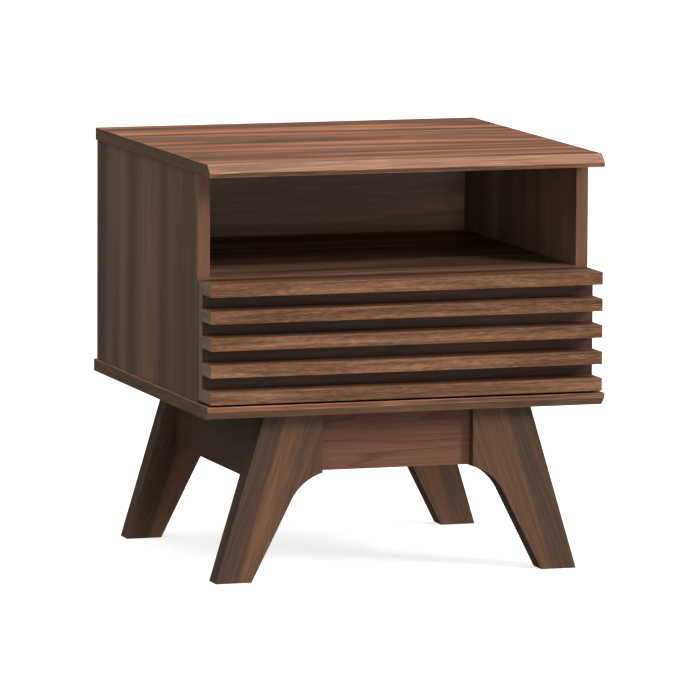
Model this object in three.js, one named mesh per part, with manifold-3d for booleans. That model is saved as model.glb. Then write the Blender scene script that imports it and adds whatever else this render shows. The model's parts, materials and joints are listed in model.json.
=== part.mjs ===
// Bedside cabinet with one slat-fronted drawer, an open niche and a splayed board-leg base.
// Millimetres. +X right, -Y front, +Z up. Origin on the floor under the centre of the top panel.
import * as THREE from 'three';
import { mergeVertices } from 'three/addons/utils/BufferGeometryUtils.js';
import Module from 'manifold-3d';

const wasm = await Module();
wasm.setup();

// ---------------------------------------------------------------- driving dimensions
const board = 15; // thickness of every case board, of the slats and of the aprons
const fitGap = 0.3; // clearance round anything that sits in a bore or a groove
const left = -1;
const right = 1;
const front = -1;
const back = 1;

const topPanel = { width: 483, depth: 470, topZ: 493 };
const bottomPanel = { width: 487, depth: 470, underZ: 197 };
const bevel = { depth: 11, height: 9.5 }; // the long front bevel of the top and bottom panels
const shelfTopZ = 357;
const sideEndInset = 1.5; // side panel's outer face, in from the end of the top panel
const rearInset = 2; // case rear, in from the back edge of the top panel
const caseSetback = 53; // side panels' front edges, behind the front edge of the top panel

const slats = { count: 5, depth: 34, height: 15, pitch: 31.25 };
const frontGap = { below: 2.5, behind: 4 }; // drawer front to bottom panel, and to the side panels

const drawerBox = {
  board: 12,
  bottomBoard: 4,
  grooveDepth: 5,
  grooveRise: 10, // from the box's underside up to the groove
  height: 100,
  depth: 366,
  lift: 12, // from the bottom panel up to the box
};
const slide = { width: 12.5, length: 350, sheet: 1.25, frontInset: 6 };
const slideMembers = { // offsets from the side panel's inner face towards the drawer
  cabinet: { webOffset: 0, lipOffset: 11, height: 45 },
  middle: { webOffset: 2.5, lipOffset: 10.25, height: 39 },
  drawer: { webOffset: slide.width, lipOffset: 5, height: 33 },
};

const leg = { thickness: 28, footWidth: 43, footOuterX: 222, topOuterX: 163, innerX: 92.5 };
const legArc = { radius: 60, startZ: 95, lean: THREE.MathUtils.degToRad(27) };
const base = {
  frontSetback: 35, // front legs' front faces, behind the front edge of the top panel
  rearSetback: 43,
  apronRecess: 12, // front apron's face, behind the legs' faces
  frontApronHeight: 70,
  sideApronHeight: 85,
};
const sideApronOuterX = 161;
const cornerBlock = {
  size: 30,
  height: 60,
  boltDrop: 37, // from the bottom panel down to the leg bolt
  fixingOffset: 7, // the screw's and the bolt's distance from the block's middle, towards either side
};

const roundSegments = 16;
const camLock = { radius: 7.5, depth: 12.5, edgeDistance: 24, boltRadius: 3, boltReach: 11 };
const camSlot = { length: 10, width: 1.6, depth: 2 };
const camInset = { front: 60, back: 80 }; // from the case's front and rear edges
const camCover = { radius: 8.5, topRadius: 7.5, rimHeight: 0.5, height: 1 };
const throughFace = 1; // how far a cutter stands out of the face that it enters
const legBolt = { headRadius: 5, headHeight: 4, shankRadius: 3, bite: 20 };
const panelScrew = { headRadius: 4, headHeight: 3, shankRadius: 2, length: 50 };

// ---------------------------------------------------------------- worked-out places
const topUnderZ = topPanel.topZ - board;
const bottomTopZ = bottomPanel.underZ + board;
const panelFrontY = -topPanel.depth / 2;
const sideOuterX = topPanel.width / 2 - sideEndInset;
const sideInnerX = sideOuterX - board;
const caseFrontY = panelFrontY + caseSetback;
const caseBackY = topPanel.depth / 2 - rearInset;
const backPanelFrontY = caseBackY - board;
const shelfUnderZ = shelfTopZ - board;

const frontBoardBackY = caseFrontY - frontGap.behind;
const frontBoardFrontY = frontBoardBackY - board;
const frontBoardUnderZ = bottomTopZ + frontGap.below;
const frontBoardTopZ = frontBoardUnderZ + (slats.count - 1) * slats.pitch + slats.height;

const drawerOuterX = sideInnerX - slide.width;
const drawerInnerX = drawerOuterX - drawerBox.board;
const drawerUnderZ = bottomTopZ + drawerBox.lift;
const drawerTopZ = drawerUnderZ + drawerBox.height;
const drawerBackY = frontBoardBackY + drawerBox.depth;
const drawerBottomZ = drawerUnderZ + drawerBox.grooveRise;
const drawerBottomTopZ = drawerBottomZ + drawerBox.bottomBoard;
const slideMiddleZ = (drawerUnderZ + drawerTopZ) / 2;
const slideFrontY = caseFrontY + slide.frontInset;

const legFrontY = panelFrontY + base.frontSetback;
const legBackY = topPanel.depth / 2 - base.rearSetback;
const blockMiddleX = sideApronOuterX - board - cornerBlock.size / 2;
const blockMiddleY = {
  [front]: legFrontY + leg.thickness + cornerBlock.size / 2,
  [back]: legBackY - leg.thickness - cornerBlock.size / 2,
};

// ---------------------------------------------------------------- finishes
function finish(color, roughness, metalness = 0) {
  return new THREE.MeshStandardMaterial({ color, roughness, metalness });
}
const walnutPanel = finish(0x84604c, 0.45);
const walnutSlat = finish(0x8a6048, 0.5);
const walnutBase = finish(0x70563f, 0.5);
const blockWood = finish(0x8c7459, 0.6);
const drawerBoardFinish = finish(0x7a5a48, 0.55);
const thinBoardFinish = finish(0x6b5242, 0.6);
const steel = finish(0xb4b6b8, 0.35, 0.9);
const coverFinish = finish(0x5a4032, 0.5);

// ---------------------------------------------------------------- shape helpers
const alongX = new THREE.Matrix4().makeBasis(
  new THREE.Vector3(0, 1, 0), new THREE.Vector3(0, 0, 1), new THREE.Vector3(1, 0, 0));
const alongMinusY = new THREE.Matrix4().makeBasis(
  new THREE.Vector3(1, 0, 0), new THREE.Vector3(0, 0, 1), new THREE.Vector3(0, -1, 0));

const outline = (points) => new THREE.Shape(points.map(([u, v]) => new THREE.Vector2(u, v)));

/** A (y, z) outline carried along X from x0 to x1. */
function prismAlongX(shape, x0, x1) {
  const body = new THREE.ExtrudeGeometry(shape, { depth: x1 - x0, bevelEnabled: false });
  return body.applyMatrix4(alongX).translate(x0, 0, 0);
}

/** An (x, z) outline carried along Y from y0 to y1. */
function prismAlongY(shape, y0, y1, curveSegments = 8) {
  const body = new THREE.ExtrudeGeometry(shape, { depth: y1 - y0, bevelEnabled: false, curveSegments });
  return body.applyMatrix4(alongMinusY).translate(0, y1, 0);
}

/** A square-edged board between two corners. */
function boardBetween(x0, x1, y0, y1, z0, z1) {
  const body = new THREE.BoxGeometry(x1 - x0, y1 - y0, z1 - z0);
  return body.translate((x0 + x1) / 2, (y0 + y1) / 2, (z0 + z1) / 2);
}

/** A round bar on local Z, from z = from to z = to. */
function rod(radius, from, to) {
  const body = new THREE.CylinderGeometry(radius, radius, to - from, roundSegments);
  return body.rotateX(Math.PI / 2).translate(0, 0, (from + to) / 2);
}

/** A turned piece on local Z from [radius, z] points that start and end on the axis. */
function turned(points) {
  const profile = points.map(([radius, z]) => new THREE.Vector2(radius, z));
  return new THREE.LatheGeometry(profile, roundSegments).rotateX(Math.PI / 2);
}

function toSolid(geometry) {
  const bare = geometry.clone();
  bare.deleteAttribute('normal');
  bare.deleteAttribute('uv');
  const merged = mergeVertices(bare, 1e-4);
  return new wasm.Manifold(new wasm.Mesh({
    numProp: 3,
    vertProperties: Float32Array.from(merged.attributes.position.array),
    triVerts: Uint32Array.from(merged.index.array),
  }));
}

function toGeometry(solid) {
  const mesh = solid.getMesh();
  const geometry = new THREE.BufferGeometry();
  geometry.setAttribute('position', new THREE.BufferAttribute(mesh.vertProperties, 3));
  geometry.setIndex(new THREE.BufferAttribute(mesh.triVerts, 1));
  geometry.computeVertexNormals();
  return geometry;
}

/** The geometry with every cutter taken away from it. */
function cut(geometry, cutters) {
  const solid = cutters.reduce((body, cutter) => body.subtract(toSolid(cutter)), toSolid(geometry));
  return toGeometry(solid);
}

const join = (first, second) => toGeometry(toSolid(first).add(toSolid(second)));

function piece(name, geometry, material) {
  const mesh = new THREE.Mesh(geometry, material);
  mesh.name = name;
  return mesh;
}

/** A frame at a point, with local Z and local X along two given directions. */
function frameAt(point, zDirection, xDirection) {
  const z = new THREE.Vector3(...zDirection);
  const x = new THREE.Vector3(...xDirection);
  const y = new THREE.Vector3().crossVectors(z, x);
  return new THREE.Matrix4().makeBasis(x, y, z).setPosition(...point);
}

function fastener(name, geometry, place) {
  const mesh = piece(name, geometry, steel);
  mesh.applyMatrix4(place);
  return mesh;
}

// ---------------------------------------------------------------- fasteners
// A cam lock's housing sits on local -Z below the face it is let into; its bolt runs along local +X.
function camLockBody() {
  const [along, across] = [camSlot.length / 2, camSlot.width / 2];
  const housing = cut(rod(camLock.radius, -camLock.depth, 0), [
    boardBetween(-along, along, -across, across, -camSlot.depth, throughFace),
    boardBetween(-across, across, -along, along, -camSlot.depth, throughFace),
  ]);
  const bolt = rod(camLock.boltRadius, 0, camLock.edgeDistance + camLock.boltReach)
    .rotateY(Math.PI / 2).translate(0, 0, -board / 2);
  return join(housing, bolt);
}

function camLockBores(place) {
  const housing = rod(camLock.radius + fitGap, -camLock.depth - fitGap, throughFace);
  const bolt = rod(camLock.boltRadius + fitGap, 0, camLock.edgeDistance + camLock.boltReach + fitGap)
    .rotateY(Math.PI / 2).translate(0, 0, -board / 2);
  return [housing.applyMatrix4(place), bolt.applyMatrix4(place)];
}

const camCoverBody = () => turned([
  [0, 0], [camCover.radius, 0], [camCover.radius, camCover.rimHeight],
  [camCover.topRadius, camCover.height], [0, camCover.height],
]);

// Bolts and screws have their head's face at local Z = 0 and their shank on local -Z.
const legBoltLength = cornerBlock.size + legBolt.bite;
const legBoltBody = () => turned([
  [0, -legBoltLength], [legBolt.shankRadius, -legBoltLength], [legBolt.shankRadius, 0],
  [legBolt.headRadius, 0], [legBolt.headRadius, legBolt.headHeight], [0, legBolt.headHeight],
]);

const panelScrewBody = () => turned([
  [0, -panelScrew.length], [panelScrew.shankRadius, -panelScrew.length],
  [panelScrew.shankRadius, -panelScrew.headHeight], [panelScrew.headRadius, 0], [0, 0],
]);

function panelScrewBore() {
  const shankRadius = panelScrew.shankRadius + fitGap;
  const headRadius = panelScrew.headRadius + fitGap;
  const endZ = -panelScrew.length - fitGap;
  return turned([
    [0, endZ], [shankRadius, endZ], [shankRadius, -panelScrew.headHeight - fitGap],
    [headRadius, -fitGap], [headRadius, throughFace], [0, throughFace],
  ]);
}

const sideName = (side) => (side === left ? 'left' : 'right');
const endName = (end) => (end === front ? 'front' : 'back');
const corners = [left, right].flatMap((side) => [front, back].map((end) => ({ side, end })));

/** Cam locks at the corners of the top, bottom and shelf: `into` is the panel that each one holds. */
const camRowY = { [front]: caseFrontY + camInset.front, [back]: caseBackY - camInset.back };
const camPlaces = corners.flatMap(({ side, end }) => {
  const y = camRowY[end];
  const topFace = [side * sideInnerX, y, topUnderZ - camLock.edgeDistance];
  const bottomFace = [side * sideInnerX, y, bottomTopZ + camLock.edgeDistance];
  const shelfFace = [side * (sideInnerX - camLock.edgeDistance), y, shelfUnderZ];
  const places = {
    top: frameAt(topFace, [-side, 0, 0], [0, 0, 1]),
    bottom: frameAt(bottomFace, [-side, 0, 0], [0, 0, -1]),
    shelf: frameAt(shelfFace, [0, 0, -1], [side, 0, 0]),
  };
  return Object.entries(places).map(([into, place]) => (
    { name: `cam_lock_${into}_${endName(end)}_${sideName(side)}`, into, side, place }
  ));
});
const camBores = (wanted) => camPlaces.filter(wanted).flatMap(({ place }) => camLockBores(place));

const screwPlaces = corners.map(({ side, end }) => ({
  name: `base_screw_${endName(end)}_${sideName(side)}`,
  place: frameAt(
    [side * (blockMiddleX - cornerBlock.fixingOffset), blockMiddleY[end], bottomTopZ], [0, 0, 1], [1, 0, 0]),
}));
const screwBores = () => screwPlaces.map(({ place }) => panelScrewBore().applyMatrix4(place));

const boltPlaces = corners.map(({ side, end }) => ({
  name: `leg_bolt_${endName(end)}_${sideName(side)}`,
  side,
  end,
  place: frameAt([
    side * (blockMiddleX + cornerBlock.fixingOffset),
    blockMiddleY[end] - end * cornerBlock.size / 2,
    bottomPanel.underZ - cornerBlock.boltDrop,
  ], [0, -end, 0], [1, 0, 0]),
}));
function boltBore(place) {
  return rod(legBolt.shankRadius + fitGap, -legBoltLength - fitGap, throughFace).applyMatrix4(place);
}

// ---------------------------------------------------------------- case
function topPanelBody() {
  const rear = topPanel.depth / 2;
  const profile = outline([
    [rear, topUnderZ], [rear, topPanel.topZ], [panelFrontY + bevel.depth, topPanel.topZ],
    [panelFrontY, topPanel.topZ - bevel.height], [panelFrontY, topUnderZ],
  ]);
  const body = prismAlongX(profile, -topPanel.width / 2, topPanel.width / 2);
  return cut(body, camBores(({ into }) => into === 'top'));
}

function bottomPanelBody() {
  const rear = bottomPanel.depth / 2;
  const profile = outline([
    [rear, bottomTopZ], [rear, bottomPanel.underZ], [panelFrontY + bevel.depth, bottomPanel.underZ],
    [panelFrontY, bottomPanel.underZ + bevel.height], [panelFrontY, bottomTopZ],
  ]);
  const body = prismAlongX(profile, -bottomPanel.width / 2, bottomPanel.width / 2);
  return cut(body, [...camBores(({ into }) => into === 'bottom'), ...screwBores()]);
}

function sidePanelBody(side) {
  const [x0, x1] = [side * sideInnerX, side * sideOuterX].sort((a, b) => a - b);
  const body = boardBetween(x0, x1, caseFrontY, caseBackY, bottomTopZ, topUnderZ);
  return cut(body, camBores((cam) => cam.side === side));
}

function shelfBody() {
  const body = boardBetween(-sideInnerX, sideInnerX, caseFrontY, backPanelFrontY, shelfUnderZ, shelfTopZ);
  return cut(body, camBores(({ into }) => into === 'shelf'));
}

function buildCase() {
  const group = new THREE.Group();
  group.add(piece('top_panel', topPanelBody(), walnutPanel));
  group.add(piece('bottom_panel', bottomPanelBody(), walnutPanel));
  group.add(piece('side_panel_left', sidePanelBody(left), walnutPanel));
  group.add(piece('side_panel_right', sidePanelBody(right), walnutPanel));
  group.add(piece('shelf_panel', shelfBody(), walnutPanel));
  const backBody = boardBetween(-sideInnerX, sideInnerX, backPanelFrontY, caseBackY, bottomTopZ, topUnderZ);
  group.add(piece('back_panel', backBody, walnutPanel));
  for (const { name, place } of camPlaces) group.add(fastener(name, camLockBody(), place));
  for (const { name, place, into } of camPlaces) {
    if (into !== 'top') continue;
    const cover = piece(name.replace('lock_top', 'cover'), camCoverBody(), coverFinish);
    cover.applyMatrix4(place);
    group.add(cover);
  }
  return group;
}

// ---------------------------------------------------------------- drawer slides
// A slide is three steel channels nested in each other, and the middle one travels half as far as the drawer.
function channel(side, { webOffset, lipOffset, height }) {
  const webFar = lipOffset > webOffset ? webOffset + slide.sheet : webOffset - slide.sheet;
  const half = height / 2;
  const lip = half - slide.sheet;
  const points = [
    [webOffset, -half], [lipOffset, -half], [lipOffset, -lip], [webFar, -lip],
    [webFar, lip], [lipOffset, lip], [lipOffset, half], [webOffset, half],
  ];
  const profile = outline(points.map(([offset, z]) => [side * (sideInnerX - offset), slideMiddleZ + z]));
  return prismAlongY(profile, slideFrontY, slideFrontY + slide.length);
}

function buildSlides() {
  const group = new THREE.Group();
  for (const side of [left, right]) {
    for (const [member, section] of Object.entries(slideMembers)) {
      group.add(piece(`slide_${member}_member_${sideName(side)}`, channel(side, section), steel));
    }
  }
  return group;
}

// ---------------------------------------------------------------- drawer
function frontBoardBody() {
  const body = boardBetween(
    -sideOuterX, sideOuterX, frontBoardFrontY, frontBoardBackY, frontBoardUnderZ, frontBoardTopZ);
  const grooveHalf = drawerInnerX + drawerBox.grooveDepth + fitGap;
  const groove = boardBetween(
    -grooveHalf, grooveHalf, frontBoardBackY - drawerBox.grooveDepth, frontBoardBackY + throughFace,
    drawerBottomZ - fitGap, drawerBottomTopZ + fitGap);
  return cut(body, [groove]);
}

/** A drawer side: a board with a groove for the drawer's bottom along its inner face. */
function drawerSideBody(side) {
  const grooveX = drawerInnerX + drawerBox.grooveDepth + fitGap;
  const profile = outline([
    [drawerOuterX, drawerUnderZ], [drawerOuterX, drawerTopZ], [drawerInnerX, drawerTopZ],
    [drawerInnerX, drawerBottomTopZ + fitGap], [grooveX, drawerBottomTopZ + fitGap],
    [grooveX, drawerBottomZ - fitGap], [drawerInnerX, drawerBottomZ - fitGap], [drawerInnerX, drawerUnderZ],
  ].map(([x, z]) => [side * x, z]));
  return prismAlongY(profile, frontBoardBackY, drawerBackY);
}

function slatBody() {
  return new THREE.BoxGeometry(2 * sideOuterX, slats.depth, slats.height);
}

function buildDrawer() {
  const group = new THREE.Group();
  group.add(piece('drawer_front_board', frontBoardBody(), walnutPanel));
  for (let index = 0; index < slats.count; index += 1) {
    const slat = piece(`drawer_slat_${index + 1}`, slatBody(), walnutSlat);
    slat.position.set(
      0,
      frontBoardFrontY - slats.depth / 2,
      frontBoardTopZ - slats.height / 2 - index * slats.pitch);
    group.add(slat);
  }
  group.add(piece('drawer_side_left', drawerSideBody(left), drawerBoardFinish));
  group.add(piece('drawer_side_right', drawerSideBody(right), drawerBoardFinish));
  const backBody = boardBetween(
    -drawerInnerX, drawerInnerX, drawerBackY - drawerBox.board, drawerBackY,
    drawerBottomTopZ + fitGap, drawerTopZ);
  group.add(piece('drawer_back', backBody, drawerBoardFinish));
  const bottomHalf = drawerInnerX + drawerBox.grooveDepth;
  const bottomBody = boardBetween(
    -bottomHalf, bottomHalf, frontBoardBackY - drawerBox.grooveDepth + fitGap, drawerBackY,
    drawerBottomZ, drawerBottomTopZ);
  group.add(piece('drawer_bottom', bottomBody, thinBoardFinish));
  return group;
}

// ---------------------------------------------------------------- base
/** The right-hand leg's outline: a board leaning outwards, with a hollow arc up to its inner edge. */
function legOutline() {
  const footInnerX = leg.footOuterX - leg.footWidth;
  const arcStart = new THREE.Vector2(footInnerX - Math.tan(legArc.lean) * legArc.startZ, legArc.startZ);
  const toCentre = new THREE.Vector2(-Math.cos(legArc.lean), -Math.sin(legArc.lean));
  const centre = arcStart.clone().addScaledVector(toCentre, legArc.radius);
  const arcEnd = Math.acos((leg.innerX - centre.x) / legArc.radius);
  const shape = new THREE.Shape();
  shape.moveTo(leg.footOuterX, 0);
  shape.lineTo(leg.topOuterX, bottomPanel.underZ);
  shape.lineTo(leg.innerX, bottomPanel.underZ);
  shape.lineTo(leg.innerX, centre.y + legArc.radius * Math.sin(arcEnd));
  shape.absarc(centre.x, centre.y, legArc.radius, arcEnd, legArc.lean, true);
  shape.lineTo(footInnerX, 0);
  return shape;
}

/** A leg, its thickness centred on y = 0; a left leg is a right leg turned half round. */
function buildLeg({ side, end }) {
  const middleY = end === front ? legFrontY + leg.thickness / 2 : legBackY - leg.thickness / 2;
  const turn = new THREE.Matrix4().makeRotationZ(side === left ? Math.PI : 0).setPosition(0, middleY, 0);
  const bore = boltPlaces.filter((bolt) => bolt.side === side && bolt.end === end)
    .map(({ place }) => boltBore(place).applyMatrix4(turn.clone().invert()));
  const body = cut(prismAlongY(legOutline(), -leg.thickness / 2, leg.thickness / 2), bore);
  const mesh = piece(`leg_${endName(end)}_${sideName(side)}`, body, walnutBase);
  mesh.rotation.z = side === left ? Math.PI : 0;
  mesh.position.y = middleY;
  return mesh;
}

function buildCornerBlock({ side, end }) {
  const half = cornerBlock.size / 2;
  const x = side * blockMiddleX;
  const y = blockMiddleY[end];
  const body = boardBetween(
    x - half, x + half, y - half, y + half, bottomPanel.underZ - cornerBlock.height, bottomPanel.underZ);
  const bores = [...boltPlaces.map(({ place }) => boltBore(place)), ...screwBores()];
  return piece(`corner_block_${endName(end)}_${sideName(side)}`, cut(body, bores), blockWood);
}

function crossApron(end) {
  const outerY = end === front ? legFrontY + base.apronRecess : legBackY - base.apronRecess;
  const [y0, y1] = [outerY, outerY - end * board].sort((a, b) => a - b);
  const lowZ = bottomPanel.underZ - base.frontApronHeight;
  const body = boardBetween(-leg.innerX, leg.innerX, y0, y1, lowZ, bottomPanel.underZ);
  return piece(`apron_${endName(end)}`, body, walnutBase);
}

function sideApron(side) {
  const [x0, x1] = [side * (sideApronOuterX - board), side * sideApronOuterX].sort((a, b) => a - b);
  const lowZ = bottomPanel.underZ - base.sideApronHeight;
  const body = boardBetween(
    x0, x1, legFrontY + leg.thickness, legBackY - leg.thickness, lowZ, bottomPanel.underZ);
  return piece(`apron_${sideName(side)}`, body, walnutBase);
}

function buildBase() {
  const group = new THREE.Group();
  for (const corner of corners) group.add(buildLeg(corner), buildCornerBlock(corner));
  group.add(crossApron(front), crossApron(back), sideApron(left), sideApron(right));
  for (const { name, place } of boltPlaces) group.add(fastener(name, legBoltBody(), place));
  for (const { name, place } of screwPlaces) group.add(fastener(name, panelScrewBody(), place));
  return group;
}

const nightstand = new THREE.Group();
nightstand.add(buildCase(), buildSlides(), buildDrawer(), buildBase());

export default nightstand;
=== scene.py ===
import json
import math
import random

import bmesh
import bpy
from mathutils import Matrix, Vector

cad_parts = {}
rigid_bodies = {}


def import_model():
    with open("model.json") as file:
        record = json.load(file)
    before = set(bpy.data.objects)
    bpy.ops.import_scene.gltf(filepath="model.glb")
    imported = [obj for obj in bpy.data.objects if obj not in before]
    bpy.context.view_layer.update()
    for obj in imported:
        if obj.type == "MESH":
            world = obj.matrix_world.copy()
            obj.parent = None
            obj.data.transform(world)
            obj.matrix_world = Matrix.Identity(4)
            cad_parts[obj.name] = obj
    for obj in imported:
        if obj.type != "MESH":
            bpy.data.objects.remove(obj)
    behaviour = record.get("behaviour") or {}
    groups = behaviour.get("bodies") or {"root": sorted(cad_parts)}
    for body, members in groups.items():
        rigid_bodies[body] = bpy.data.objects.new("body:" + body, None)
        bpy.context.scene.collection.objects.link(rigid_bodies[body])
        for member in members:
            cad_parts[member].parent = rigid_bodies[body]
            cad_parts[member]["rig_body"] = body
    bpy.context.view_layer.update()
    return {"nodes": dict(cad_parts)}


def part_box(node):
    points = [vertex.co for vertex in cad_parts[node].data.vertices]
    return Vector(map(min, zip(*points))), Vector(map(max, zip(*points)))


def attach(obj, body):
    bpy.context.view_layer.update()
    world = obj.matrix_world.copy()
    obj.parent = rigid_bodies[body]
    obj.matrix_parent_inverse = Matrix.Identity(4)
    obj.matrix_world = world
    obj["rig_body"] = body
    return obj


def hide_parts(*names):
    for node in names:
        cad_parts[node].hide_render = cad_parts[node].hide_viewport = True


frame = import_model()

MM = 0.001
X, Y, Z = Vector((1, 0, 0)), Vector((0, 1, 0)), Vector((0, 0, 1))
SIDES = {"left": -1, "right": 1}  # each side's direction along X
ENDS = ("front", "back")


def linked(name, data):
    """An object that holds data, in the scene."""
    made = bpy.data.objects.new(name, data)
    bpy.context.scene.collection.objects.link(made)
    return made


# ------------------------------------------------------------------ material graph
NOISE_LOW, NOISE_HIGH = 0.3, 0.7


class Graph:
    """A material's node tree, with short calls for the nodes that the finishes share."""

    def __init__(self, name):
        self.material = bpy.data.materials.new(name)
        self.material.use_nodes = True
        self.tree = self.material.node_tree
        self.shader = self.tree.nodes["Principled BSDF"]

    def node(self, kind, **settings):
        made = self.tree.nodes.new(kind)
        for key, value in settings.items():
            setattr(made, key, value)
        return made

    def feed(self, socket, value):
        """A link where value is a socket, or else the socket's own number or colour."""
        if isinstance(value, bpy.types.NodeSocket):
            self.tree.links.new(value, socket)
        else:
            socket.default_value = value

    def attribute(self, name, output="Vector"):
        return self.node("ShaderNodeAttribute", attribute_name=name).outputs[output]

    def object_point(self):
        return self.node("ShaderNodeTexCoord").outputs["Object"]

    def math(self, operation, a, b=0.0, clamp=False):
        made = self.node("ShaderNodeMath", operation=operation, use_clamp=clamp)
        self.feed(made.inputs[0], a)
        self.feed(made.inputs[1], b)
        return made.outputs[0]

    def vector(self, operation, a, b):
        made = self.node("ShaderNodeVectorMath", operation=operation)
        self.feed(made.inputs[0], a)
        self.feed(made.inputs[1], b)
        return made.outputs[0]

    def noise(self, point, detail=3.0, roughness=0.5, distortion=0.0):
        made = self.node("ShaderNodeTexNoise")
        self.feed(made.inputs["Vector"], point)
        self.feed(made.inputs["Scale"], 1.0)  # the point is scaled before it gets here
        self.feed(made.inputs["Detail"], detail)
        self.feed(made.inputs["Roughness"], roughness)
        self.feed(made.inputs["Distortion"], distortion)
        return made.outputs["Fac"]

    def between(self, value, low, high, out_low=0.0, out_high=1.0):
        """value carried smoothly from low..high to out_low..out_high, and held at the ends."""
        made = self.node("ShaderNodeMapRange", interpolation_type="SMOOTHSTEP")
        for socket, number in zip(made.inputs, (value, low, high, out_low, out_high)):
            self.feed(socket, number)
        return made.outputs["Result"]

    def spread(self, noise, out_low, out_high):
        """A noise carried to out_low..out_high over the range that nearly all of it lies in."""
        return self.between(noise, NOISE_LOW, NOISE_HIGH, out_low, out_high)

    def ramp(self, factor, stops):
        """A colour from stops of (position, colour)."""
        made = self.node("ShaderNodeValToRGB")
        elements = made.color_ramp.elements
        while len(elements) < len(stops):
            elements.new(0.5)
        for element, (position, colour) in zip(elements, stops):
            element.position = position
            element.color = colour
        self.feed(made.inputs["Fac"], factor)
        return made.outputs["Color"]

    def grey(self, value):
        made = self.node("ShaderNodeCombineColor")
        for socket in made.inputs:
            self.feed(socket, value)
        return made.outputs["Color"]

    def mix(self, factor, a, b, blend="MIX"):
        made = self.node("ShaderNodeMix", data_type="RGBA", blend_type=blend)
        first, second = (socket for socket in made.inputs if socket.type == "RGBA")
        self.feed(made.inputs["Factor"], factor)
        self.feed(first, a)
        self.feed(second, b)
        return next(socket for socket in made.outputs if socket.type == "RGBA")

    def bump(self, height, strength, distance):
        made = self.node("ShaderNodeBump")
        self.feed(made.inputs["Height"], height)
        self.feed(made.inputs["Strength"], strength)
        self.feed(made.inputs["Distance"], distance)
        self.tree.links.new(made.outputs["Normal"], self.shader.inputs["Normal"])

    def finish(self, **sockets):
        """Sets or links the shader's sockets, each keyword a socket's name with _ for a space."""
        for name, value in sockets.items():
            self.feed(self.shader.inputs[name.replace("_", " ")], value)
        return self.material


def srgb(text):
    """A hex colour as the linear colour that a shader takes."""
    parts = [int(text[i:i + 2], 16) / 255 for i in (0, 2, 4)]
    return tuple(p / 12.92 if p <= 0.04045 else ((p + 0.055) / 1.055) ** 2.4 for p in parts) + (1.0,)


# ------------------------------------------------------------------ wood
def per_metre(along, across):
    """A scale for grain coordinates from how many features a metre holds along and across the grain."""
    return (along, across, across)


def heart_share(g, band, share):
    """The share of light wood on a leg, where a red stripe follows the leg's own heart attribute.

    heart is 0 along the leg's outer edge and 1 along its foot's inner edge."""
    wander = g.math("MULTIPLY", g.math("SUBTRACT", band, 0.5), 0.5)
    place = g.math("ADD", g.attribute("heart", "Fac"), wander)
    red = g.math("MULTIPLY", g.between(place, 0.56, 0.72), g.between(place, 0.9, 1.3, 1.0, 0.7))
    return g.math("ADD", g.math("MULTIPLY", share, 0.35), g.math("MULTIPLY", red, 0.65))


def calmed(g, shade, covered):
    """The shading, half as strong where covered is 1."""
    calm = g.math("SUBTRACT", 1.0, g.math("MULTIPLY", covered, 0.5))
    return g.math("ADD", g.math("MULTIPLY", g.math("SUBTRACT", shade, 1.0), calm), 1.0)


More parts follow.
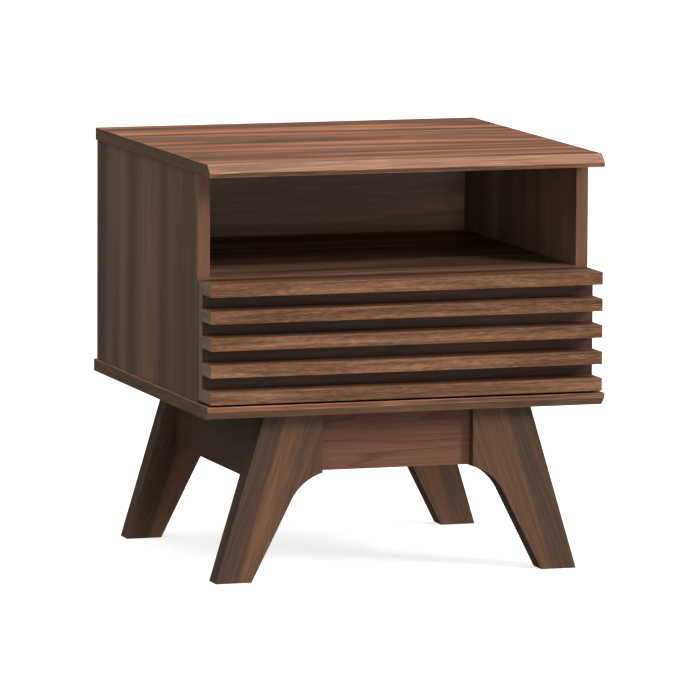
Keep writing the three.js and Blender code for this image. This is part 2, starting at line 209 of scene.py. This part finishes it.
def wood(name, palette, bands, streaks, lines, flecks, roughness=0.52, tint_share=0.5, heart=False):
    """Wood from the grain coordinates on each piece: along, across and through, in metres.

    bands, streaks and flecks are (per metre along, per metre across, strength), from wide to fine.
    lines is (how many contour lines the bands hold, strength)."""
    g = Graph(name)
    dark, middle, light, tint, band_end, worn_and_lit_colour = (srgb(colour) for colour in palette)
    line_count, line_strength = lines
    streak_strength, fleck_strength = streaks[2], flecks[2]
    grain = g.attribute("grain")
    sway = g.noise(g.vector("MULTIPLY", grain, per_metre(2.0, 7)), detail=1)
    swayed = g.vector("ADD", grain, g.vector("MULTIPLY", sway, (0.0, 0.03, 0.03)))

    def pattern(along, across, detail):
        return g.noise(g.vector("MULTIPLY", swayed, per_metre(along, across)), detail, 0.55)

    # The broad bands give the colour, and a slow tint or a leg's red stripe varies it.
    band = pattern(*bands[:2], 1.5)
    half = 0.2 / bands[2]
    share = g.between(band, 0.5 - half, 0.5 + half)
    if heart:
        share = heart_share(g, band, share)
    colour = g.ramp(share, [(0.0, dark), (0.5, middle), (1.0, light)])
    if not heart:
        colour = g.mix(g.between(pattern(0.7, 8, 1), 0.42, 0.62, 0.0, tint_share), colour, tint)
    banded = g.attribute("banded", "Fac")
    colour = g.mix(g.math("MULTIPLY", banded, 0.9), colour, band_end)

    # Streaks, contour lines, flecks and pores shade it, from wide to fine.
    streak = pattern(*streaks[:2], 2)
    contour = g.math("PINGPONG", g.math("MULTIPLY", band, line_count), 0.5)
    fleck = pattern(*flecks[:2], 2.5)
    pore = g.between(pattern(38, 1500, 2), 0.62, 0.72)
    shade = g.spread(streak, 1 - streak_strength, 1 + streak_strength)
    shade = g.math("MULTIPLY", shade, g.between(contour, 0.0, 0.12, 1 - line_strength, 1.0))
    shade = g.math("MULTIPLY", shade, g.spread(fleck, 1 - fleck_strength, 1 + fleck_strength))
    shade = g.math("MULTIPLY", shade, g.math("SUBTRACT", 1.0, g.math("MULTIPLY", pore, 0.25)))
    colour = g.mix(g.between(fleck, 0.5, 0.75, 0.0, fleck_strength), colour, light)

    # Rounded edges take the worn colour, which is also a painted highlight along them, and the front
    # bevels and lips of the top and bottom panels take it as painted light. The grain shading is weaker
    # there and on the edge bands.
    edge = g.attribute("edge", "Fac")
    wear_and_painted_light = g.math("MULTIPLY", edge, g.between(fleck, 0.3, 0.75, 0.5, 0.9))
    colour = g.mix(wear_and_painted_light, colour, worn_and_lit_colour)
    shade = calmed(g, shade, g.math("MAXIMUM", banded, edge))
    colour = g.mix(1.0, colour, g.grey(shade), "MULTIPLY")

    gloss = g.between(fleck, 0.25, 0.75, roughness - 0.07, roughness + 0.06)
    g.bump(g.math("SUBTRACT", g.math("MULTIPLY", fleck, 0.5), pore), 0.3, 0.1 * MM)
    return g.finish(Base_Color=colour, Roughness=gloss, Specular_IOR_Level=0.15)


# Each palette: the bands' dark, middle and light, then the tint, the edge band and the worn edges, whose
# colour is also a painted highlight on rounded edges and painted light on the front bevels and lips.
TOP = ("50301d", "824e33", "a96f4c", "6c442e", "6f5a47", "b08a70")
# The shelf's walnut is made lighter as painted light for the inside of the niche, which the lamps barely
# reach.
SHELF_PAINTED_LIGHT = ("523b2b", "7c5844", "9a735a", "6a4f3d", "5f4436", "7c6150")
SIDE = ("654d43", "836557", "8f7057", "81694f", "73503b", "866754")
SLAT = ("583824", "76503a", "a27b5a", "754c35", "927f6a", "7d5b47")
BASE = ("4f3c2f", "614737", "73503b", "5c4a3a", "5c4a3a", "735846")
# The aprons' walnut is made lighter, as painted light against the shade under the overhanging bottom
# panel.
APRON_PAINTED_LIGHT = ("5b3c2f", "744c3c", "855a45", "744c3b", "5c4a3a", "8c6a52")
# The drawer front board's walnut is made darker than the rest as painted shade for the gaps between the
# slats, the only place where it shows.
INNER_PAINTED_SHADE = ("35241c", "442d23", "543a2d", "3e2b23", "8f7c6c", "5a4437")
RAW = ("7d5b3a", "a07a52", "bd966c", "92704c", "a88762", "c4a47e")

WALNUT_TOP = wood("walnut_top", TOP, (1.8, 36, 1.2), (1.6, 230, 0.3), (10, 0.3), (14, 800, 0.25))
WALNUT_SHELF_PAINTED_LIGHT = wood("walnut_shelf_painted_light", SHELF_PAINTED_LIGHT, (1.8, 36, 1.2), (4.0, 230, 0.22), (10, 0.25), (24, 800, 0.22))
WALNUT_SIDE = wood("walnut_side", SIDE, (0.6, 14, 1.1), (1.0, 110, 0.1), (5, 0.1), (9, 480, 0.12))
WALNUT_SLAT = wood(
    "walnut_slat", SLAT, (3, 70, 0.4), (9, 300, 0.3), (3, 0.0), (90, 1500, 0.3), tint_share=0.3)
WALNUT_BASE = wood(
    "walnut_base", BASE, (1.1, 26, 1.2), (1.6, 160, 0.1), (5, 0.14), (9, 620, 0.16), heart=True)
WALNUT_APRON_PAINTED_LIGHT = wood("walnut_apron", APRON_PAINTED_LIGHT, (1.6, 22, 0.9), (1.6, 110, 0.08), (10, 0.3), (14, 620, 0.14))
WALNUT_INNER_PAINTED_SHADE = wood("walnut_inner_painted_shade", INNER_PAINTED_SHADE, (1.3, 18, 1.0), (1.6, 80, 0.15), (8, 0.2), (13, 430, 0.15))
BLOCK_WOOD = wood("base_block", RAW, (3, 60, 1.0), (3, 140, 0.1), (10, 0.25), (20, 500, 0.2), 0.65)
DRAWER_BOARD = wood("drawer_board", SIDE, (2, 24, 1.0), (2, 90, 0.12), (8, 0.2), (16, 480, 0.16), 0.55)
THIN_BOARD = wood("thin_board", SIDE, (2, 30, 0.8), (2, 90, 0.1), (8, 0.12), (18, 480, 0.14), 0.6)


# ------------------------------------------------------------------ metal and plastic
def steel():
    """Zinc-plated steel with the faint lengthwise lines of rolled strip."""
    g = Graph("steel")
    point = g.object_point()
    lines = g.noise(g.vector("MULTIPLY", point, (2400, 22, 2400)), detail=2)
    cloud = g.noise(g.vector("MULTIPLY", point, (90, 60, 90)), detail=3)
    colour = g.ramp(cloud, [(NOISE_LOW, srgb("b0b3b5")), (NOISE_HIGH, srgb("cdcfd0"))])
    gloss = g.math("ADD", g.spread(lines, 0.24, 0.36), g.spread(cloud, 0.0, 0.1))
    g.bump(lines, 0.25, 0.05 * MM)
    return g.finish(Base_Color=colour, Roughness=gloss, Metallic=1.0)


def plastic(name, dark, light):
    """Moulded plastic with a fine spark-eroded texture."""
    g = Graph(name)
    point = g.object_point()
    texture = g.noise(g.vector("MULTIPLY", point, (1800, 1800, 1800)), detail=2)
    cloud = g.noise(g.vector("MULTIPLY", point, (70, 70, 70)), detail=2)
    colour = g.ramp(cloud, [(NOISE_LOW, srgb(dark)), (NOISE_HIGH, srgb(light))])
    g.bump(texture, 0.3, 0.08 * MM)
    return g.finish(Base_Color=colour, Roughness=g.spread(texture, 0.45, 0.6))


STEEL = steel()
BROWN_PLASTIC = plastic("cam_cover", "745b4f", "81675a")
BLACK_PLASTIC = plastic("slide_plastic", "1b1b1c", "262627")


# ------------------------------------------------------------------ making pieces
SMOOTH_ANGLE = math.radians(50)


def piece(name, body, finish, node, stands_for=True):
    """An object from a bmesh that rides with a CAD node and, as a rule, stands for it."""
    mesh = bpy.data.meshes.new(name)
    body.to_mesh(mesh)
    body.free()
    mesh.materials.append(finish)
    mesh.shade_smooth()
    mesh.set_sharp_from_angle(angle=SMOOTH_ANGLE)
    made = linked(name, mesh)
    weighted = made.modifiers.new("weighted_normals", "WEIGHTED_NORMAL")
    weighted.keep_sharp = True
    weighted.weight = 100
    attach(made, frame["nodes"][node]["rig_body"])
    if stands_for:
        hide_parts(node)


# ------------------------------------------------------------------ boards with eased edges
ALONG_X, ALONG_Y, UPRIGHT = (X, Y, Z), (Y, Z, X), (Z, Y, X)  # along, across and through the grain
NO_BAND = Vector((0, 0, 0))
EASED = 0.6 * MM
SHORTEST_EASED = 5 * MM
FLAT_ANGLE, EDGE_ANGLE = math.radians(1), math.radians(25)
# The front bevels and lips of these panels take the worn colour as painted light, the most on the bottom
# panel's bevel, which faces down towards light from below.
BEVEL_PAINTED_LIGHT = {"top_panel": 0.75, "bottom_panel": 1.0}
LIP_PAINTED_LIGHT = 0.15
WIDE_FACE = 0.001  # square metres: larger than any rounded edge, smaller than the lip or the bevel
LEG_LEAN = math.radians(20)
NEAR_END = 2 * MM


def leaning(angle):
    """Grain directions in the XZ plane, tilted from upright towards +X at the top."""
    along = Vector((math.sin(angle), 0, math.cos(angle)))
    return along, Vector((math.cos(angle), 0, -math.sin(angle))), Y


def front_painted_light(node, face):
    """How far a wide face at the front of a bevelled panel takes the lighter colour of a worn edge:
    painted light for the light that falls on the bevels and lips from the front and from below.
    """
    if node not in BEVEL_PAINTED_LIGHT or face.normal.y > -0.3 or face.calc_area() < WIDE_FACE:
        return None
    return BEVEL_PAINTED_LIGHT[node] if abs(face.normal.z) > 0.3 else LIP_PAINTED_LIGHT


def ease_edges(body, radius):
    """Rounds every long outer edge and returns the rounded faces."""
    bmesh.ops.remove_doubles(body, verts=body.verts, dist=0.001 * MM)
    bmesh.ops.dissolve_limit(body, verts=body.verts, edges=body.edges, angle_limit=FLAT_ANGLE)
    sharp = [
        edge for edge in body.edges
        if edge.is_convex and edge.calc_face_angle(0) > EDGE_ANGLE and edge.calc_length() > SHORTEST_EASED
    ]
    rounded = bmesh.ops.bevel(
        body, geom=sharp, offset=radius, segments=3, profile=0.5, affect="EDGES", clamp_overlap=True)
    return rounded["faces"]


def paint_grain(body, node, grain, banded, layers):
    """Grain coordinates for every corner, and marks for the faces that an edge band covers."""
    draw = random.Random(node)
    offset = Vector([draw.uniform(0, 20) for _ in range(3)])
    along, across, through = grain
    for face in body.faces:
        is_banded = abs(face.normal.dot(banded)) > 0.7
        is_end = abs(face.normal.dot(along)) > 0.7
        axes = (across, along, through) if is_end else (along, across, through)
        face[layers["banded"]] = float(is_banded)
        # Front bevels and lips of the top and bottom panels get painted light: a lighter colour in the
        # edge mark.
        wear_and_painted_light = front_painted_light(node, face)
        if wear_and_painted_light is not None:
            face[layers["edge"]] = wear_and_painted_light
        for loop in face.loops:
            loop[layers["grain"]] = Vector([loop.vert.co.dot(axis) for axis in axes]) + offset


def paint_heart(body, layer):
    """0 along a leg's outer edge and 1 along its foot's inner edge."""
    top = max(v.co.z for v in body.verts)
    foot = [abs(v.co.x) for v in body.verts if v.co.z < NEAR_END]
    outer_foot, inner_foot = max(foot), min(foot)
    outer_top = max(abs(v.co.x) for v in body.verts if v.co.z > top - NEAR_END)
    for face in body.faces:
        for loop in face.loops:
            co = loop.vert.co
            outer = outer_foot + (outer_top - outer_foot) * co.z / top
            loop[layer] = (outer - abs(co.x)) / (outer_foot - inner_foot)


def board(node, finish, grain, banded=X, radius=EASED):
    """A copy of a CAD board with rounded edges and grain coordinates, standing for the node."""
    body = bmesh.new()
    body.from_mesh(frame["nodes"][node].data)
    layers = {
        # edge: the share of the worn colour, which is also a painted highlight on rounded edges and
        # painted light on front bevels and lips.
        "edge": body.faces.layers.float.new("edge"),
        "banded": body.faces.layers.float.new("banded"),
        "grain": body.loops.layers.float_vector.new("grain"),
        "heart": body.loops.layers.float.new("heart"),
    }
    # Rounded faces take the worn colour, which is also a painted highlight along the edges.
    for face in ease_edges(body, radius):
        face[layers["edge"]] = 1.0
    paint_grain(body, node, grain, banded, layers)
    if node.startswith("leg"):
        paint_heart(body, layers["heart"])
    piece(node + "_eased", body, finish, node)


for node in ("top_panel", "bottom_panel"):
    board(node, WALNUT_TOP, ALONG_X)
# The shelf's lighter walnut is painted light for the niche.
board("shelf_panel", WALNUT_SHELF_PAINTED_LIGHT, ALONG_X, banded=Y)
board("back_panel", WALNUT_SIDE, ALONG_X)
# Its darker walnut is painted shade for the gaps between the slats.
board("drawer_front_board", WALNUT_INNER_PAINTED_SHADE, ALONG_X)
for slat in (name for name in frame["nodes"] if name.startswith("drawer_slat")):
    board(slat, WALNUT_SLAT, ALONG_X)
# The aprons' lighter walnut is painted light against the shade under the bottom panel.
for end in ENDS:
    board(f"apron_{end}", WALNUT_APRON_PAINTED_LIGHT, ALONG_X)
for side, outward in SIDES.items():
    board(f"side_panel_{side}", WALNUT_SIDE, UPRIGHT, banded=Y)
    board(f"drawer_side_{side}", DRAWER_BOARD, ALONG_Y, banded=Z)
    board(f"apron_{side}", WALNUT_APRON_PAINTED_LIGHT, ALONG_Y)
    for end in ENDS:
        board(f"leg_{end}_{side}", WALNUT_BASE, leaning(-outward * LEG_LEAN), banded=NO_BAND)
        board(f"corner_block_{end}_{side}", BLOCK_WOOD, UPRIGHT, banded=Z)
board("drawer_back", DRAWER_BOARD, ALONG_X, banded=Z)
board("drawer_bottom", THIN_BOARD, ALONG_X, radius=0.3 * MM)


# ------------------------------------------------------------------ turned fasteners
ROUND = 48


def crossed(arm, half_width):
    """The radius of a cross-shaped outline at any angle."""
    def radius(angle):
        across, up = abs(math.cos(angle)) + 1e-9, abs(math.sin(angle)) + 1e-9
        return max(min(arm / across, half_width / up), min(half_width / across, arm / up))
    return radius


def hexagonal(half_flat):
    """The radius of a hexagonal outline at any angle."""
    return lambda angle: half_flat / math.cos((angle + math.pi / 6) % (math.pi / 3) - math.pi / 6)


def frame_at(point, out, along=None):
    """A frame at a point with local Z along out and, if given, local X along along."""
    along = along or out.orthogonal().normalized()
    return Matrix.Translation(point) @ Matrix((along, out.cross(along), out)).transposed().to_4x4()


def turned(profile, place):
    """A closed body turned about local Z, in millimetres. A radius may be a function of the angle."""
    body = bmesh.new()
    angles = [2 * math.pi * step / ROUND for step in range(ROUND)]

    def ring(radius, z):
        if radius == 0:
            return [body.verts.new(place @ Vector((0, 0, z * MM)))]
        radii = [radius(a) if callable(radius) else radius for a in angles]
        spots = [Vector((r * math.cos(a), r * math.sin(a), z)) * MM for r, a in zip(radii, angles)]
        return [body.verts.new(place @ spot) for spot in spots]

    rings = [ring(radius, z) for radius, z in profile]
    for low, high in zip(rings, rings[1:]):
        for here in range(ROUND):
            after = (here + 1) % ROUND
            below = low[here % len(low)], low[after % len(low)]
            above = high[after % len(high)], high[here % len(high)]
            body.faces.new(list(dict.fromkeys(below + above)))
    return body


# Each profile is (radius, height) in millimetres, from the middle of the bottom to the middle of the top.
CAM_RADIUS = 7.5
CAM_BOLT_DEPTH = 7.5  # from the housing's outer face to the bolt's axis
LEG_BOLT_HEAD = 4
CAM_HOUSING = [
    (0, -12.5), (7.1, -12.5), (CAM_RADIUS, -12.1), (CAM_RADIUS, -0.3), (7.2, 0),
    (crossed(5.2, 1.0), 0), (crossed(5, 0.8), -0.2), (crossed(5, 0.8), -2), (0, -2)]
CAM_BOLT = [(0, 7.6), (3, 7.6), (3, 34.6), (2.6, 35), (0, 35)]
CAM_COVER = [(0, 0), (8.3, 0), (8.5, 0.15), (8.5, 0.4), (8.2, 0.65), (7.4, 0.85), (5.5, 1), (0, 1)]
LEG_BOLT = [
    (0, -50), (2.5, -50), (3, -49.5), (3, 0), (4.8, 0), (5, 0.2), (5, 3.5), (4.6, LEG_BOLT_HEAD),
    (hexagonal(2.2), LEG_BOLT_HEAD), (hexagonal(2), 3.8), (hexagonal(2), 1.6), (0, 1.4)]
BASE_SCREW = [
    (0, -50), (2, -46), (2, -3), (4, -0.15), (3.85, 0),
    (crossed(2.3, 0.6), 0), (crossed(1.6, 0.35), -1.6), (0, -1.9)]
PAN_SCREW = [
    (0, 0), (3.3, 0), (3.4, 0.5), (2.9, 0.9),
    (crossed(2, 0.5), 0.95), (crossed(1.5, 0.35), 0.4), (0, 0.35)]


def seat(node, out, bolt=None, radius=0.0):
    """Where a turned fastener's outer face is centred: at the end of its CAD box towards out, and for a
    cam lock, one housing radius in from the end that is away from its bolt."""
    low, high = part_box(node)
    middle, half = (low + high) / 2, (high - low) / 2

    def reach(axis):
        return axis * sum(abs(a) * h for a, h in zip(axis, half))

    point = middle + reach(out)
    return point - reach(bolt) + bolt * radius if bolt else point


def cam_lock(node):
    """A cam housing let into a board, and the bolt that it pulls on."""
    into, _, side = node.split("_")[2:]
    sideways = X * SIDES[side]
    out, bolt = {"top": (-sideways, Z), "bottom": (-sideways, -Z), "shelf": (-Z, sideways)}[into]
    point = seat(node, out, bolt, CAM_RADIUS * MM)
    piece(node + "_housing", turned(CAM_HOUSING, frame_at(point, out)), STEEL, node)
    bolt_place = frame_at(point - out * CAM_BOLT_DEPTH * MM, bolt)
    piece(node + "_bolt", turned(CAM_BOLT, bolt_place), STEEL, node, stands_for=False)


for node in list(frame["nodes"]):
    side = SIDES.get(node.split("_")[-1])
    if node.startswith("cam_lock"):
        cam_lock(node)
    elif node.startswith("cam_cover"):
        inwards = -X * side
        place = frame_at(seat(node, -inwards), inwards)
        piece(node + "_cap", turned(CAM_COVER, place), BROWN_PLASTIC, node)
    elif node.startswith("leg_bolt"):
        towards_middle = Y if "front" in node else -Y
        place = frame_at(seat(node, towards_middle) - towards_middle * LEG_BOLT_HEAD * MM, towards_middle)
        piece(node + "_turned", turned(LEG_BOLT, place), STEEL, node)
    elif node.startswith("base_screw"):
        piece(node + "_turned", turned(BASE_SCREW, frame_at(seat(node, Z), Z)), STEEL, node)


# ------------------------------------------------------------------ drawer slides
# All sizes here are in millimetres.
SHEET = 1.25
BEND_STEPS = 6
DRAWER_WEB = 11.1  # how far the drawer member's middle lies from the side panel
# Each member's sheet runs round these points: offset from the side panel and height above the middle.
MEMBERS = {
    "cabinet": [(10.2, 20.4), (9.2, 21.875), (0.625, 21.875), (0.625, 0)],
    "middle": [(9.6, 17.4), (8.6, 18.875), (3.125, 18.875), (3.125, 8), (4.1, 6.5), (4.1, 0)],
    "drawer": [
        (5.65, 14.4), (6.6, 15.875), (11.875, 15.875), (11.875, 8), (DRAWER_WEB, 6.5), (DRAWER_WEB, 0)],
}
BEND = {"cabinet": 2.4, "middle": 2.2, "drawer": 2}
BALL_RADIUS, BALL_PITCH = 0.85, 7
# Each ball row: offset and height, and the member whose front half it keeps to.
BALL_ROWS = {"outer": (6.4, 20.375, "cabinet"), "inner": (7.6, 17.375, "middle")}
CAGE = {"length": 160, "inset": 8, "width": 4, "thickness": 0.5}
SCREWS_FROM_FRONT = (35, 131, 291)
# The release lever's round ends: distance from the front, radius, and where their half turn starts.
LEVER_ENDS = ((190, 5, 0.5), (238, 2.6, -0.5))
LEVER_FACES = (10.4, 8.8)  # how far its two faces lie from the side panel
LEVER_STEPS = 12


def fillet(points, radius):
    """The polyline with each corner turned into a curve."""
    curve = [points[0]]
    for before, corner, after in zip(points, points[1:], points[2:]):
        to_before, to_after = before - corner, after - corner
        half = to_before.angle(to_after) / 2
        reach = min(radius / math.tan(half), 0.48 * to_before.length, 0.48 * to_after.length)
        start, end = corner + to_before.normalized() * reach, corner + to_after.normalized() * reach
        for step in range(BEND_STEPS + 1):
            t = step / BEND_STEPS
            curve.append(start * (1 - t) ** 2 + corner * 2 * t * (1 - t) + end * t ** 2)
    return curve + [points[-1]]


def slide_spot(side, offset, y, height):
    """A point in metres from a slide's own millimetres."""
    low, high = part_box(f"slide_cabinet_member_{side}")
    wall = high.x if side == "right" else low.x
    return Vector((wall - SIDES[side] * offset * MM, y, (low.z + high.z) / 2 + height * MM))


def channel(member, side):
    """A rolled channel: its sheet's centre line, thickened and carried along the slide."""
    upper = [Vector(point) for point in MEMBERS[member]]
    lower = [Vector((u, -v)) for u, v in reversed(upper[:-1])]
    line = fillet(upper[:-1] + lower, BEND[member])
    node = f"slide_{member}_member_{side}"
    low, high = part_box(node)
    body = bmesh.new()
    rows = []
    for index, point in enumerate(line):
        run = line[min(index + 1, len(line) - 1)] - line[max(index - 1, 0)]
        normal = Vector((-run.y, run.x)).normalized() * SHEET / 2
        spots = [point + normal, point - normal]
        ends = (low.y, high.y)
        rows.append([[body.verts.new(slide_spot(side, p.x, y, p.y)) for p in spots] for y in ends])
    for ((a, b), (c, d)), ((e, f), (g, h)) in zip(rows, rows[1:]):
        for corners in ((a, c, g, e), (b, f, h, d), (a, e, f, b), (c, d, h, g)):
            body.faces.new(corners)
    for (a, b), (c, d) in (rows[0], rows[-1]):
        body.faces.new((a, b, d, c))
    bmesh.ops.recalc_face_normals(body, faces=body.faces)
    piece(node + "_channel", body, STEEL, node)


def ball_rows(name, side):
    """Two rows of balls, above and below, with the strips that keep them apart."""
    offset, height, member = BALL_ROWS[name]
    node = f"slide_{member}_member_{side}"
    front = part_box(node)[0].y + CAGE["inset"] * MM
    length = CAGE["length"] * MM
    balls, strips = bmesh.new(), bmesh.new()
    for v in (height, -height):
        middle = slide_spot(side, offset, front + length / 2, v)
        size = Matrix.Diagonal((CAGE["width"] * MM, length, CAGE["thickness"] * MM, 1))
        bmesh.ops.create_cube(strips, matrix=Matrix.Translation(middle) @ size)
        for index in range(int(CAGE["length"] / BALL_PITCH)):
            spot = slide_spot(side, offset, front + (index + 0.75) * BALL_PITCH * MM, v)
            place = Matrix.Translation(spot)
            bmesh.ops.create_icosphere(balls, subdivisions=2, radius=BALL_RADIUS * MM, matrix=place)
    bmesh.ops.bevel(strips, geom=strips.edges[:], offset=0.1 * MM, segments=1, affect="EDGES")
    piece(f"slide_{name}_balls_{side}", balls, STEEL, node, stands_for=False)
    piece(f"slide_{name}_cage_{side}", strips, BLACK_PLASTIC, node, stands_for=False)


def slide_screws(member, side, offset, facing_drawer):
    """Pan-head screws through a member's web."""
    node = f"slide_{member}_member_{side}"
    out = X * -SIDES[side] * (1 if facing_drawer else -1)
    for number, distance in enumerate(SCREWS_FROM_FRONT, 1):
        spot = slide_spot(side, offset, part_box(node)[0].y + distance * MM, 0)
        body = turned(PAN_SCREW, frame_at(spot, out))
        piece(f"slide_{member}_screw_{number}_{side}", body, STEEL, node, stands_for=False)


def release_lever(side):
    """The tapered lever inside a drawer member that lets the drawer come off its slide."""
    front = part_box(f"slide_drawer_member_{side}")[0].y
    body = bmesh.new()
    outline = []
    for distance, radius, start in LEVER_ENDS:
        for step in range(LEVER_STEPS + 1):
            angle = math.pi * (start + step / LEVER_STEPS)
            outline.append((front + (distance + radius * math.cos(angle)) * MM, radius * math.sin(angle)))
    layers = [[body.verts.new(slide_spot(side, u, y, v)) for y, v in outline] for u in LEVER_FACES]
    for index in range(len(outline)):
        after = (index + 1) % len(outline)
        body.faces.new((layers[0][index], layers[0][after], layers[1][after], layers[1][index]))
    for layer in layers:
        body.faces.new(layer)
    bmesh.ops.recalc_face_normals(body, faces=body.faces)
    rims = [edge for edge in body.edges if edge.calc_face_angle(0) > EDGE_ANGLE]
    bmesh.ops.bevel(body, geom=rims, offset=0.3 * MM, segments=2, affect="EDGES", profile=0.5)
    node = f"slide_drawer_member_{side}"
    piece(f"slide_release_lever_{side}", body, BLACK_PLASTIC, node, stands_for=False)


for side in SIDES:
    for member in MEMBERS:
        channel(member, side)
    for name in BALL_ROWS:
        ball_rows(name, side)
    slide_screws("cabinet", side, SHEET, facing_drawer=True)
    slide_screws("drawer", side, DRAWER_WEB - SHEET / 2, facing_drawer=False)
    release_lever(side)


# ------------------------------------------------------------------ floor, light and camera
FLOOR_RADIUS = 30
FLOOR_GLOW = 0.74
WORLD_ABOVE, WORLD_BELOW, WORLD_LEFT_SHARE = 0.5, 0.08, 1.08
CAMERA = {
    "azimuth": -18.224, "elevation": 7.248, "roll": 0.275,
    "target": Vector((0.00607, 0, 0.24203)), "distance": 8.79, "lens": 379.3,
}
# Each light's azimuth, elevation and spread in degrees, and its strength.
LIGHTS = {
    "key_light": (42, 28, 20, 0.62),
    "top_light": (10, 80, 60, 0.46),
    "front_fill": (0, -3, 12, 0.22),
    "left_fill": (-45, 0, 24, 0.08),
    "rear_fill": (155, -9, 16, 0.28),
}


def floor():
    """A white floor far wider than the view. It glows a little, which keeps the shadows on it faint.

    It is hidden from the object's own rays, so light from below the horizon reaches the object, as the
    light that a real floor throws back would."""
    g = Graph("floor")
    cloud = g.noise(g.vector("MULTIPLY", g.object_point(), (3, 3, 3)), detail=3)
    colour = g.ramp(cloud, [(NOISE_LOW, (0.68, 0.68, 0.68, 1)), (NOISE_HIGH, (0.7, 0.7, 0.7, 1))])
    disc = bmesh.new()
    bmesh.ops.create_circle(disc, cap_ends=True, radius=FLOOR_RADIUS, segments=96)
    mesh = bpy.data.meshes.new("floor")
    disc.to_mesh(mesh)
    disc.free()
    mesh.materials.append(g.finish(
        Base_Color=colour, Roughness=0.9, Specular_IOR_Level=0.1,
        Emission_Color=(1, 1, 1, 1), Emission_Strength=FLOOR_GLOW))
    made = linked("floor", mesh)
    made.visible_diffuse = False
    made.visible_glossy = False
    made.visible_shadow = False


def direction(azimuth, elevation):
    """From the object towards a viewer, azimuth 0 in front and positive to the right, in degrees."""
    a, e = math.radians(azimuth), math.radians(elevation)
    return Vector((math.sin(a) * math.cos(e), -math.cos(a) * math.cos(e), math.sin(e)))


def facing(back):
    """A rotation whose view goes along -back, level with the horizon."""
    right = Z.cross(back).normalized()
    return Matrix((right, back.cross(right), back)).transposed()


def soft_light(name, azimuth, elevation, spread, strength):
    """Even light from a wide round source, so that the floor is as bright far away as near the object."""
    light = bpy.data.lights.new(name, "SUN")
    light.energy = strength * math.pi
    light.angle = math.radians(spread)
    linked(name, light).matrix_world = facing(direction(azimuth, elevation)).to_4x4()


def world():
    """Soft light from all round, weaker from below and a little stronger from the left.

    Where it is seen past the floor it is plain white."""
    made = bpy.data.worlds.new("studio")
    made.use_nodes = True
    tree = made.node_tree
    point = tree.nodes.new("ShaderNodeTexCoord").outputs["Generated"]
    parts = tree.nodes.new("ShaderNodeSeparateXYZ")
    tree.links.new(point, parts.inputs[0])

    def spread(value, low, high, out_low, out_high):
        made = tree.nodes.new("ShaderNodeMapRange")
        for socket, number in zip(list(made.inputs)[1:5], (low, high, out_low, out_high)):
            socket.default_value = number
        tree.links.new(value, made.inputs["Value"])
        return made.outputs["Result"]

    share = tree.nodes.new("ShaderNodeMath")
    share.operation = "MULTIPLY"
    tree.links.new(spread(parts.outputs["Z"], -0.1, 0.4, WORLD_BELOW, WORLD_ABOVE), share.inputs[0])
    tree.links.new(spread(parts.outputs["X"], -0.6, 0.6, WORLD_LEFT_SHARE, 1.0), share.inputs[1])
    seen = tree.nodes.new("ShaderNodeMath")
    seen.operation = "MAXIMUM"
    tree.links.new(share.outputs[0], seen.inputs[0])
    tree.links.new(tree.nodes.new("ShaderNodeLightPath").outputs["Is Camera Ray"], seen.inputs[1])
    background = tree.nodes["Background"]
    background.inputs["Color"].default_value = (1, 1, 1, 1)
    tree.links.new(seen.outputs[0], background.inputs["Strength"])
    bpy.context.scene.world = made


def camera():
    """A long lens in front of the object, to its left and a little above."""
    data = bpy.data.cameras.new("camera")
    data.sensor_width = 36
    data.lens = CAMERA["lens"]
    data.clip_end = 2 * FLOOR_RADIUS
    back = direction(CAMERA["azimuth"], CAMERA["elevation"])
    turn = Matrix.Rotation(math.radians(CAMERA["roll"]), 3, back) @ facing(back)
    made = linked("camera", data)
    made.matrix_world = Matrix.Translation(CAMERA["target"] + back * CAMERA["distance"]) @ turn.to_4x4()
    bpy.context.scene.camera = made


floor()
world()
for name, settings in LIGHTS.items():
    soft_light(name, *settings)
camera()
bpy.context.scene.view_settings.view_transform = "Standard"
